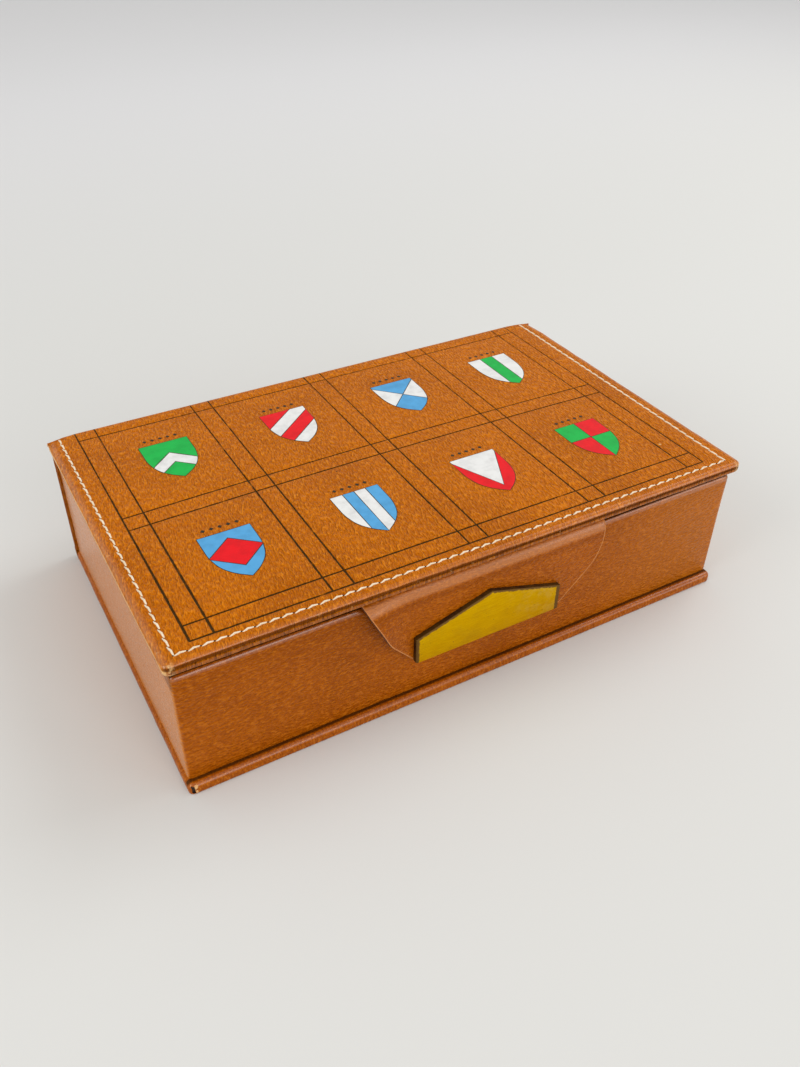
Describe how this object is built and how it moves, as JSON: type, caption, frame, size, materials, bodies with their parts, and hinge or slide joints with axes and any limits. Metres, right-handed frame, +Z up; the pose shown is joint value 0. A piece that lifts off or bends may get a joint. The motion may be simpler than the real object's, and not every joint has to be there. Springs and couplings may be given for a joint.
{
  "type": "leather game case",
  "caption": "Leather-covered tabletop game case with a book-style lid on a leather hinge and a front tongue closed by a gabled brass plate over a lined tray.",
  "frame": {"origin": "on the table, under the middle of the lid's plan", "axes": "+X to the right along the length, +Y to the hinged back, +Z up; the tongue is at -Y"},
  "size_m": [0.22, 0.1419, 0.057],
  "materials": {
    "leather": "satin grained",
    "wall_leather": "smooth satin",
    "flap_leather": "satin grained",
    "lining_leather": "suede",
    "lining": "suede cloth",
    "lining_board": "cloth covered",
    "board": "raw",
    "paper": "matt",
    "brass": "satin, aged",
    "steel": "plain",
    "magnet": "matt ferrite"
  },
  "bodies": {
    "case": {"base_board": "board", "base_paper": "paper", "base_leather": "leather", "back_board": "board", "back_leather": "leather", "hinge_leather": "leather", "hinge_cloth": "lining", "front_wall": "board", "back_wall": "board", "left_wall": "board", "right_wall": "board", "keeper_strip": "steel", "tray_floor": "board", "tray_lining": "lining", "wall_leather": "wall_leather"},
    "divider": {"divider": "lining_board"},
    "lid": {"lid_board": "board", "lid_paper": "paper", "lid_leather": "leather", "lid_lining": "lining", "flap_root": "flap_leather", "flap_fold": "flap_leather"},
    "flap": {"flap_leather": "flap_leather", "flap_lining": "lining_leather", "backing_strip": "steel", "plate_rivet_left": "brass", "plate_rivet_right": "brass", "brass_plate": "brass", "flap_magnet": "magnet"}
  },
  "joints": [
    {"name": "lid_hinge", "type": "hinge", "parent": "case", "child": "lid", "pos_m": [0, 0.06883, 0.05583], "axis": [-1, 0, 0], "range_deg": [0, 180], "deforming": ["hinge_leather", "hinge_cloth"]},
    {"name": "flap_fold_hinge", "type": "hinge", "parent": "lid", "child": "flap", "pos_m": [0, -0.06847, 0.05157], "axis": [-1, 0, 0], "range_deg": [0, 110], "deforming": ["flap_fold"]},
    {"name": "divider_lift", "type": "slide", "parent": "case", "child": "divider", "axis": [0, 0, 1], "range_m": [0, 0.012]}
  ]
}
